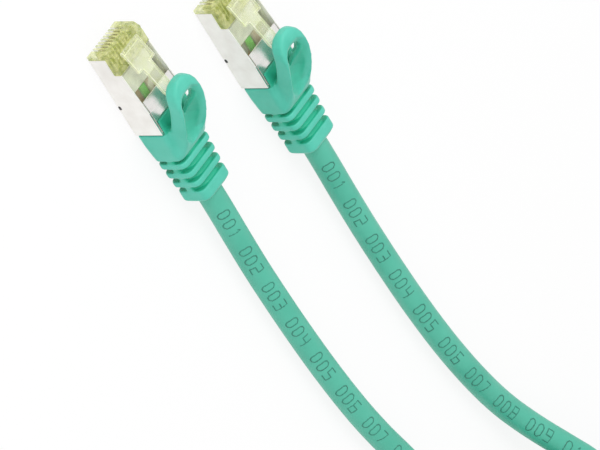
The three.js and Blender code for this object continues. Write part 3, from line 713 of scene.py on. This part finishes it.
def painted_shade_share(x, y, z):
    """From 0 to 1, how much painted shade a point of the boot takes; y is never below 0."""
    if x < BOOT_FRONT and z < LIP_SHADE:
        return LIP_PAINTED_SHADE
    if x < HOOD_END:
        return HOLLOW_PAINTED_SHADE * in_hollow(x, y, z)
    # How far the point lies inside the round-cornered outline of the ribs.
    half_width = (FIRST_RIB_WIDTH - RIB_NARROWING * (x - FIRST_RIB) / (RIB_PITCH * (RIBS - 1))) / 2
    across, up = y - half_width + RIB_CORNER, abs(z - RIB_MIDDLE) - RIB_HEIGHT / 2 + RIB_CORNER
    inside = RIB_CORNER - math.hypot(max(across, 0), max(up, 0)) - min(max(across, up), 0)
    return min(max((inside - GROOVE_START) / GROOVE_FADE, 0), 1)


boot = put_object("boot", boot_shape())
fuse(boot, ROUGH_VOXEL)
cut(boot, put_object("scoop", [hollow_shape(upper_section)]))
cut(boot, put_object("channel", [hollow_shape(under_section, *CHANNEL)]))
cut(boot, put_object("hole", [guard_hole()]))
cut(boot, put_object("bore", [along_x(BORE)]))
fuse(boot, FINE_VOXEL)
soften(boot, factor=0.5, repeat=7)
thinned(boot, share=0.5)
# Each point keeps its share of painted shade for the boot's material.
painted_shade = boot.data.attributes.new("painted_shade", "FLOAT", "POINT")
for vert in boot.data.vertices:
    x, y, z = vert.co
    painted_shade.data[vert.index].value = painted_shade_share(x, abs(y), z)
for plug in PLUGS:
    skin = add_object(f"boot_skin_{plug}", boot.data.copy())
    to_plug(skin.data, plug)
    skin.data.materials.append(moulded)
    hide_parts(f"boot_{plug}", f"latch_guard_{plug}")
    place((BEND_AT, 0, BEND_START), plug)
    place((BEND_AT, 0, BEND_END), plug)
    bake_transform(skin)
bpy.data.objects.remove(boot)

# ---- Housing, latch, shield and its catches --------------------------------------------------
NOSE_END = 5.3
TOP_PLATE_FRONT = 13.5
SHIELD_END = 22.5
HOUSING_BEVEL = 0.12
LATCH_BEVEL = 0.2
SHIELD_BEVEL = 0.06
BEVEL_ANGLE = math.radians(30)  # edges sharper than this are broken
FLAT_ANGLE = math.radians(2)  # and faces that turn less than this are one
# Two opposite corners of each place in the plug's frame.
HOUSING_INSIDE = ((NOSE_END + 0.5, -5.0, 0.8), (BOOT_FRONT, 5.0, 7.7))
TOP_PLATE = ((TOP_PLATE_FRONT - 0.3, -5.3, 7.4), (SHIELD_END, 5.3, 20))
SLOT_SIDES = (5.3, 5.52)  # the slots beside the top plate are this far out on each side
SLOT_FRONT, SLOT_END = TOP_PLATE_FRONT - 1, SHIELD_END - 0.6
SLOT_FLOOR, SLOT_TOP = 7.2, 8.6
NOTCH_AT = 14.6  # where the catches are along the shield
CATCH_MIDDLE = 0.47  # its height
CATCH_CORNER = 0.25
# Distance from the plug's middle, and size in x and z there.
CATCH_STATIONS = [(5.0, 0.95, 0.75), (5.85, 0.95, 0.75), (5.95, 0.75, 0.55)]


def bevelled(thing, width, material=-1):
    """Breaks the sharp edges. The new faces may take another material, by its number."""
    bevel = thing.modifiers.new("bevel", "BEVEL")
    bevel.width = width * MM
    bevel.segments = 2
    bevel.limit_method = "ANGLE"
    bevel.angle_limit = BEVEL_ANGLE
    bevel.material = material
    settle(thing)


def copied(node, name, *materials):
    """A copy of a CAD node with whole faces, ready for its edges to be broken."""
    copy = add_object(name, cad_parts[node].data.copy())
    copy.data.materials.clear()
    for material in materials:
        copy.data.materials.append(material)
    shell = bmesh.new()
    shell.from_mesh(copy.data)
    bmesh.ops.remove_doubles(shell, verts=shell.verts, dist=1e-6)
    bmesh.ops.dissolve_limit(shell, angle_limit=FLAT_ANGLE, verts=shell.verts, edges=shell.edges)
    shell.to_mesh(copy.data)
    shell.free()
    return copy


def box_at(low, high, plug):
    """A plain block between two corners in the plug's frame, to cut with."""
    shell = bmesh.new()
    bmesh.ops.create_cube(shell, size=1)
    for vert in shell.verts:
        vert.co = place([(a + b) / 2 + t * (b - a) for a, b, t in zip(low, high, vert.co)], plug)
    return put_object("block", [shell])


def within(point, corners, plug):
    """Whether a point of the model lies between two corners of the plug's frame."""
    low, high = (place(corner, plug) for corner in corners)
    return all(a < c < b for a, c, b in zip(low, point, high))


for plug in PLUGS:
    looks = (clear_thin, clear_nose, clear_painted_shade, clear_inner)
    body = copied(f"housing_{plug}", f"housing_skin_{plug}", *looks)
    # The broken edges take the darker clear, painted there as shade.
    bevelled(body, HOUSING_BEVEL, material=2)
    nose_limit = place((NOSE_END + 0.15, 0, 0), plug).x
    for polygon in body.data.polygons:
        if all(body.data.vertices[i].co.x < nose_limit for i in polygon.vertices):
            polygon.material_index = 1
        elif within(polygon.center, HOUSING_INSIDE, plug):
            polygon.material_index = 3
    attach(body, "cable")
    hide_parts(f"housing_{plug}")

    arm = copied(f"latch_{plug}", f"latch_skin_{plug}", clear_arm, clear_painted_highlight)
    # The latch's broken edges take the brighter clear, painted there as highlight.
    bevelled(arm, LATCH_BEVEL, material=1)
    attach(arm, f"latch_{plug}")
    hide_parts(f"latch_{plug}")

    can = copied(f"shield_{plug}", f"shield_skin_{plug}", plated)
    for side in (-1, 1):
        near, far = sorted(side * y for y in SLOT_SIDES)
        cut(can, box_at((SLOT_FRONT, near, SLOT_FLOOR), (SLOT_END, far, SLOT_TOP), plug))
    bevelled(can, SHIELD_BEVEL)
    can.data.materials.append(bright_plated)
    can.data.materials.append(inner_plated_painted_light)
    for polygon in can.data.polygons:
        across = polygon.center.y / MM - PLUGS[plug].y
        faces_up = polygon.normal.z > 0.5
        faces_in = polygon.normal.y * across < -2  # a side's inner face, well out from the middle
        # Upward faces of the top plate take the bright nickel; inside faces, and upward faces at the
        # floor, take the near-white nickel that is painted light for the shade they lie in.
        if faces_up and within(polygon.center, TOP_PLATE, plug):
            polygon.material_index = 1
        elif faces_in or (faces_up and polygon.center.z < MM):
            polygon.material_index = 2
    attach(can, "cable")
    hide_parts(f"shield_{plug}")

    # A block for each catch's tail in the shield's notch, painted near black as the shade in the notch.
    for side in (-1, 1):
        rings = []
        for y, long, high in CATCH_STATIONS:
            outline = rounded_box(long, high, CATCH_CORNER, CATCH_MIDDLE)
            rings.append([(NOTCH_AT + dx, side * y, z) for dx, z in outline])
        catch = put_object(f"catch_{plug}_{'near' if side < 0 else 'far'}", [loft(rings)])
        to_plug(catch.data, plug)
        catch.data.materials.append(catch_painted_shade)
        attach(catch, "cable")

# ---- Carried-over CAD nodes ------------------------------------------------------------------
CONTACTS = 8
NODE_FINISHES = {
    "housing": clear_thin, "latch": clear_thin, "shield": plated, "load_bar": bar,
    "jacket_end": jacket, "braid": braid, "crimp_sleeve": plated, "boot": moulded,
    "latch_guard": moulded, **PAIR_FINISHES,
    **{f"contact_{i + 1}": gold for i in range(CONTACTS)},
}


def paint(node, material):
    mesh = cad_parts[node].data
    mesh.materials.clear()
    mesh.materials.append(material)


for plug in PLUGS:
    for name, material in NODE_FINISHES.items():
        paint(f"{name}_{plug}", material)
for name in ("cord_a", "cord_coil", "cord_b"):
    paint(name, jacket)

# ---- Table, background and light, in metres --------------------------------------------------
FLOOR_REACH = 3
FLOOR_DROP = 0.0002  # below the cord and the plugs, so that no faces meet
FLOOR_WHITE = 0.86  # the rest is its own light and shadow
WORLD_LIGHT = 0.7  # on the object
WORLD_SEEN = 1.0  # by the camera, in gloss and through clear plastic


def seen_white(material, share):
    """That share for rays from the camera, from gloss and through clear plastic, and 0 for all others."""
    nodes, links = material.node_tree.nodes, material.node_tree.links
    path = nodes.new("ShaderNodeLightPath")
    seen = path.outputs["Is Camera Ray"]
    for kind in ("Is Glossy Ray", "Is Transmission Ray"):
        either = nodes.new("ShaderNodeMath")
        either.operation = "MAXIMUM"
        links.new(seen, either.inputs[0])
        links.new(path.outputs[kind], either.inputs[1])
        seen = either.outputs[0]
    part = nodes.new("ShaderNodeMath")
    part.operation = "MULTIPLY"
    part.inputs[1].default_value = share
    links.new(seen, part.inputs[0])
    return part.outputs[0]


floor_mesh = bpy.data.meshes.new("floor")
floor_corners = [(x * FLOOR_REACH, y * FLOOR_REACH, 0) for x, y in ((-1, -1), (1, -1), (1, 1), (-1, 1))]
floor_mesh.from_pydata(floor_corners, [], [(0, 1, 2, 3)])
floor = add_object("floor", floor_mesh)
floor.location.z = -FLOOR_DROP
white = bpy.data.materials.new("white_table")
white.use_nodes = True
nodes, links = white.node_tree.nodes, white.node_tree.links
shader = nodes["Principled BSDF"]
shader.inputs["Base Color"].default_value = (0.9, 0.9, 0.9, 1)
shader.inputs["Roughness"].default_value = 0.9
glow = nodes.new("ShaderNodeEmission")
mix = nodes.new("ShaderNodeMixShader")
links.new(seen_white(white, FLOOR_WHITE), mix.inputs[0])
links.new(shader.outputs[0], mix.inputs[1])
links.new(glow.outputs[0], mix.inputs[2])
links.new(mix.outputs[0], nodes["Material Output"].inputs["Surface"])
floor_mesh.materials.append(white)

world = bpy.data.worlds.new("studio")
scene.world = world
world.use_nodes = True
background = world.node_tree.nodes["Background"]
background.inputs["Color"].default_value = (1, 1, 1, 1)
strength = world.node_tree.nodes.new("ShaderNodeMapRange")
strength.inputs["To Min"].default_value = WORLD_LIGHT
strength.inputs["To Max"].default_value = WORLD_SEEN
world.node_tree.links.new(seen_white(world, 1.0), strength.inputs["Value"])
world.node_tree.links.new(strength.outputs["Result"], background.inputs["Strength"])


def lamp(name, right, up, towards, size, power):
    """A soft square light, placed as seen from the camera, from the middle of the view."""
    light = bpy.data.lights.new(name, "AREA")
    light.size = size
    light.energy = power
    lamp_object = add_object(name, light)
    lamp_object.location = AIM + CAMERA_RIGHT * right + CAMERA_UP * up + TO_CAMERA * towards
    lamp_object.rotation_mode = "QUATERNION"
    lamp_object.rotation_quaternion = (lamp_object.location - AIM).to_track_quat("Z", "Y")


lamp("key", right=0.3, up=0.5, towards=0.7, size=0.5, power=3.6)
lamp("fill", right=-0.1, up=-0.3, towards=0.9, size=0.6, power=1.6)

scene.view_settings.view_transform = "Standard"
